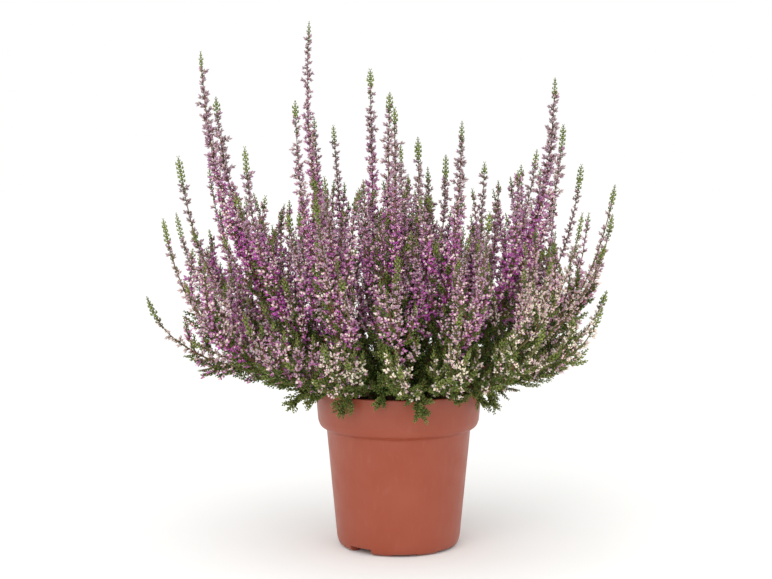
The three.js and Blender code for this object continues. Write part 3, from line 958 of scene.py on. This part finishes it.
def sprout(tree, lines, given, part, traits, turn_deg, lean_deg, roll_deg, seed, materials):
    """Instances a part along the lines, turning round them from one to the next and leaning outward."""
    every = {"Curve": lines, "Length": given[part + " spacing"]}
    even = add(tree, "GeometryNodeResampleCurve", every, mode="LENGTH")
    seeded = add(tree, "ShaderNodeMath", {"Value": given["Seed"], "Value_001": seed}, operation="ADD")
    chance, size = (
        add(tree, "GeometryNodeInputNamedAttribute", {"Name": name}, data_type="FLOAT") for name in traits)
    spans = ((-0.35, 0.35), [math.radians(deg) for deg in lean_deg], (0, math.radians(roll_deg)), (0, 1),
             (0.82, 1.15))
    wobble, lean, roll, luck, vary = (
        add(tree, "FunctionNodeRandomValue", {"Min_001": low, "Max_001": high, "Seed": seeded},
            data_type="FLOAT") for low, high in spans)
    index, tangent = add(tree, "GeometryNodeInputIndex"), add(tree, "GeometryNodeInputTangent")
    around = {"Value": index, "Value_001": math.radians(turn_deg), "Value_002": wobble}
    spin = add(tree, "ShaderNodeMath", around, operation="MULTIPLY_ADD")
    facing = add(tree, "FunctionNodeAlignRotationToVector", {"Vector": tangent}, axis="Z")
    for axis, angle in (((0, 0, 1), spin), ((1, 0, 0), lean), ((0, 0, 1), roll)):
        turn = add(tree, "FunctionNodeAxisAngleToRotation", {"Axis": axis, "Angle": angle})
        both = {"Rotation": facing, "Rotate By": turn}
        facing = add(tree, "FunctionNodeRotateRotation", both, rotation_space="LOCAL")
    here = add(tree, "FunctionNodeCompare", {"A": luck, "B": chance}, operation="LESS_THAN")
    scale = add(tree, "ShaderNodeMath", {"Value": vary, "Value_001": size}, operation="MULTIPLY")
    pattern = add(tree, "GeometryNodeObjectInfo", {"Object": given[part + " pattern"]})
    sprouted = add(tree, "GeometryNodeInstanceOnPoints", {
        "Points": even, "Selection": here, "Instance": pattern.outputs["Geometry"], "Rotation": facing,
        "Scale": scale})
    own = add(tree, "FunctionNodeRandomValue", {"Max_001": 1, "Seed": 77}, data_type="FLOAT")
    mark = {"Geometry": sprouted, "Name": "chance", "Value": own}
    marked = add(tree, "GeometryNodeStoreNamedAttribute", mark, data_type="FLOAT", domain="INSTANCE")
    painted = add(tree, "GeometryNodeRealizeInstances", {"Geometry": marked})
    for number, material in enumerate(materials):
        its_part = add(tree, "GeometryNodeInputNamedAttribute", {"Name": "part"}, data_type="INT")
        same = {"A_INT": its_part, "B_INT": number}
        mine = add(tree, "FunctionNodeCompare", same, data_type="INT", operation="EQUAL")
        painted = add(tree, "GeometryNodeSetMaterial", {
            "Geometry": painted, "Selection": mine, "Material": given[material]})
    return painted


def growth_tree():
    """Grows bark, buds and pairs of scale leaves along the lines of a skeleton."""
    tree, given = new_tree("Heather growth", {
        "Bud pattern": "Object", "Leaf pattern": "Object", "Bark step": "Float", "Bud spacing": "Float",
        "Leaf spacing": "Float", "Seed": "Int", "Bark": "Material", "Sepal": "Material", "Leaf": "Material"})
    lines = add(tree, "GeometryNodeMeshToCurve", {"Mesh": given["Geometry"]})
    every = {"Curve": lines, "Length": given["Bark step"]}
    even = add(tree, "GeometryNodeResampleCurve", every, mode="LENGTH")
    ring = add(tree, "GeometryNodeCurvePrimitiveCircle", {"Resolution": 4, "Radius": 1})
    thickness = add(tree, "GeometryNodeInputNamedAttribute", {"Name": "thickness"}, data_type="FLOAT")
    tube = add(tree, "GeometryNodeCurveToMesh", {
        "Curve": even, "Profile Curve": ring, "Fill Caps": True, "Scale": thickness})
    wood = add(tree, "GeometryNodeSetMaterial", {"Geometry": tube, "Material": given["Bark"]})
    buds = sprout(tree, lines, given, "Bud", ("buds", "bud_size"), GOLDEN_DEG, (34, 62), 360, 10, BUD_PARTS)
    leaves = sprout(tree, lines, given, "Leaf", ("leafing", "leaf_size"), 90, (-6, 6), 0, 20, ("Leaf",))
    whole = add(tree, "GeometryNodeJoinGeometry", {"Geometry": [wood, buds, leaves]})
    smooth = add(tree, "GeometryNodeSetShadeSmooth", {"Geometry": whole})
    tree.links.new(smooth.outputs[0], tree.nodes.new("NodeGroupOutput").inputs[0])
    return tree


def spindle(length):
    """Points and faces of a closed bud along +Z: its root, four corners at its girth, and its point."""
    corners = [Vector((x * BUD_GIRTH, y * BUD_GIRTH, length * 0.45))
               for x, y in ((1, 0), (0, 1), (-1, 0), (0, -1))]
    faces = []
    for i in range(4):
        faces += [(0, 1 + (i + 1) % 4, 1 + i), (1 + i, 1 + (i + 1) % 4, 5)]
    return [Vector(), *corners, Vector((0, 0, length))], faces


def thorn(foot, tip):
    """Points and faces of a slim pyramid along +Z on a three-sided foot of a given radius."""
    points = [Vector((foot * math.cos(a), foot * math.sin(a), 0))
              for a in (0, 2 * math.pi / 3, -2 * math.pi / 3)]
    return points + [Vector((0, 0, tip))], [(0, 2, 1), (0, 1, 3), (1, 2, 3), (2, 0, 3)]


def bud_cluster():
    """Four closed buds and two bracts on one short branchlet, which points up +Z."""
    points, faces, shades, lucks, parts = [], [], [], [], []

    def join(shape, part, root=0, azimuth_deg=0, lean_deg=0, luck=0):
        shape_points, shape_faces = shape
        turn = (Matrix.Rotation(math.radians(azimuth_deg), 3, "Z")
                @ Matrix.Rotation(math.radians(lean_deg), 3, "Y"))
        first = len(points)
        for p in shape_points:
            points.append(turn @ p + Vector((0, 0, root)))
            shades.append(p.z / shape_points[-1].z)
            lucks.append(luck)
        faces.extend(tuple(first + i for i in face) for face in shape_faces)
        parts.extend([BUD_PARTS.index(part)] * len(shape_faces))

    join(thorn(0.5, 3.6), "Bark")
    for root, azimuth, lean, length, luck in BUDS:
        join(spindle(length), "Sepal", root, azimuth, lean, luck)
    for root, azimuth, lean in BRACTS:
        join(thorn(0.6, 2.6), "Leaf", root, azimuth, lean, BRACT_MAUVE)
    mesh = mesh_of("bud_cluster", points, [], faces, {"shade": shades, "luck": lucks})
    mesh.attributes.new("part", "INT", "FACE").data.foreach_set("value", parts)
    return bpy.data.objects.new("bud_cluster", mesh)


def leaf_pair():
    """A pair of opposite scale leaves that lean off the stem."""
    lean = math.radians(LEAF_LEAN_DEG)
    points, faces, shades = [], [], []
    for side in (-1, 1):
        first = len(points)
        for across, out, up in SCALE:
            points.append(Vector((side * (out * math.cos(lean) + up * math.sin(lean)), side * across,
                                  up * math.cos(lean) - out * math.sin(lean))))
            shades.append(up / LEAF_LENGTH)
        faces += [tuple(first + i for i in face) for face in ((0, 1, 2), (1, 3, 2), (3, 0, 2), (1, 0, 3))]
    return bpy.data.objects.new("leaf_pair", mesh_of("leaf_pair", points, [], faces, {"shade": shades}))


def dress(parts, skeleton_of, plant):
    """Grows a piece for each stem or shoot and places it for its CAD node."""
    tree = growth_tree()
    bud, leaves = bud_cluster(), leaf_pair()
    values = {
        "Bud pattern": bud, "Leaf pattern": leaves, "Bark step": plant.bark_step,
        "Bud spacing": plant.bud_spacing, "Leaf spacing": plant.leaf_spacing, "Bark": bark(plant),
        "Sepal": bud_sepal(plant), "Leaf": scale_leaf(plant)}
    for i, part in enumerate(parts):
        name = part.node.replace("stem", "spray").replace("shoot", "sprig")
        skeleton = skeleton_of(part)
        lines = mesh_of(name, skeleton.points, skeleton.edges, [], skeleton.values)
        mesh = grown(name, lines, tree, {**values, "Seed": 31 * i})
        for trait in SPENT:
            if trait in mesh.attributes:
                mesh.attributes.remove(mesh.attributes[trait])
        place(name, mesh, [part.node])
    for pattern in (bud, leaves):
        bpy.data.objects.remove(pattern)


class HEATHER_OT_flowering_stems(Operator):
    """Grow the flowering stems with their side spikes, buds and leafy twigs"""

    bl_idname = "heather.flowering_stems"
    bl_label = "Flowering stems"

    def execute(self, context):
        dress(all_stems(), stem_skeleton, context.scene.heather_plant)
        return {"FINISHED"}


class HEATHER_OT_leafy_shoots(Operator):
    """Grow the leafy shoots that hang over the rim"""

    bl_idname = "heather.leafy_shoots"
    bl_label = "Leafy shoots"

    def execute(self, context):
        dress(edge_shoots(), shoot_skeleton, context.scene.heather_plant)
        return {"FINISHED"}


# ---- Stage ----

CAMERA_PLACE = (-9.3, -1100, 285)
CAMERA_DOWN_DEG = 4.97
CAMERA_LENS = 69.9
PLANT_MIDDLE = (0, 0, 180)
LIGHT_SIZE = 1400


def floor_paper(stage):
    """Matte uncoated paper, pressed smooth: an even floor with a faint cloudiness."""
    material, tree = new_material("matte_paper_floor")
    faint = grain(tree, 60, 2, span=(0.3, 0.7, 0.985, 1))
    tinted = add(tree, "ShaderNodeHueSaturation", {"Color": stage.floor, "Value": faint})
    return shaded(material, {"Base Color": tinted, "Roughness": 0.9})


def soft_light(name, place_mm, power):
    """A wide square light that faces the middle of the plant."""
    light = bpy.data.lights.new(name, "AREA")
    light.energy, light.size = power, LIGHT_SIZE * MM
    holder = shown(name, light)
    holder.location = Vector(place_mm) * MM
    aim = Vector(PLANT_MIDDLE) * MM - holder.location
    holder.rotation_euler = aim.to_track_quat("-Z", "Y").to_euler()


class HEATHER_OT_stage(Operator):
    """Set the pale floor, the soft lights and the camera"""

    bl_idname = "heather.stage"
    bl_label = "Stage"

    def execute(self, context):
        settings = context.scene.heather_stage
        scene = context.scene
        form = bmesh.new()
        bmesh.ops.create_circle(form, cap_ends=True, segments=96, radius=12)
        floor = shown("floor", as_mesh("floor", form))
        floor.location.z = -0.2 * MM
        floor.data.materials.append(floor_paper(settings))

        world = bpy.data.worlds.new("room")
        world.use_nodes = True
        room = world.node_tree.nodes["Background"]
        room.inputs["Color"].default_value = linear("FFFFFF")
        room.inputs["Strength"].default_value = settings.sky
        scene.world = world
        soft_light("key", (-700, -1500, 900), settings.key)
        soft_light("fill", (1300, -900, 500), settings.fill)
        overhead = bpy.data.lights.new("overhead", "SUN")
        overhead.energy, overhead.angle = settings.overhead, math.radians(90)
        shown("overhead", overhead).rotation_euler = (math.radians(20), math.radians(-12), 0)

        camera = shown("camera", bpy.data.cameras.new("camera"))
        camera.data.lens = CAMERA_LENS
        camera.data.sensor_width = 36
        camera.data.clip_end = 50
        camera.location = Vector(CAMERA_PLACE) * MM
        camera.rotation_euler = (math.radians(90 - CAMERA_DOWN_DEG), 0, 0)
        scene.camera = camera
        scene.view_settings.view_transform = "Standard"
        return {"FINISHED"}


class HEATHER_PT_panel(Panel):
    """Lists what can be made and its settings"""

    bl_idname = "HEATHER_PT_panel"
    bl_label = "Potted heather"
    bl_space_type = "VIEW_3D"
    bl_region_type = "UI"
    bl_category = "Heather"

    def draw(self, context):
        for operator in OPERATORS:
            self.layout.operator(operator.bl_idname)
        for name, group in SETTINGS.items():
            box = self.layout.box()
            for key in group.__annotations__:
                box.prop(getattr(context.scene, name), key)


SETTINGS = {"heather_pot": PotSettings, "heather_plant": PlantSettings, "heather_stage": StageSettings}
OPERATORS = (HEATHER_OT_pot, HEATHER_OT_peat, HEATHER_OT_flowering_stems, HEATHER_OT_leafy_shoots,
             HEATHER_OT_stage)
CLASSES = (*SETTINGS.values(), *OPERATORS, HEATHER_PT_panel)


def register():
    for each in CLASSES:
        bpy.utils.register_class(each)
    for name, group in SETTINGS.items():
        setattr(bpy.types.Scene, name, PointerProperty(type=group))


def unregister():
    for name in SETTINGS:
        delattr(bpy.types.Scene, name)
    for each in reversed(CLASSES):
        bpy.utils.unregister_class(each)


def main():
    register()
    bpy.ops.heather.pot()
    bpy.ops.heather.peat()
    bpy.ops.heather.flowering_stems()
    bpy.ops.heather.leafy_shoots()
    bpy.ops.heather.stage()


if __name__ == "__main__":
    main()
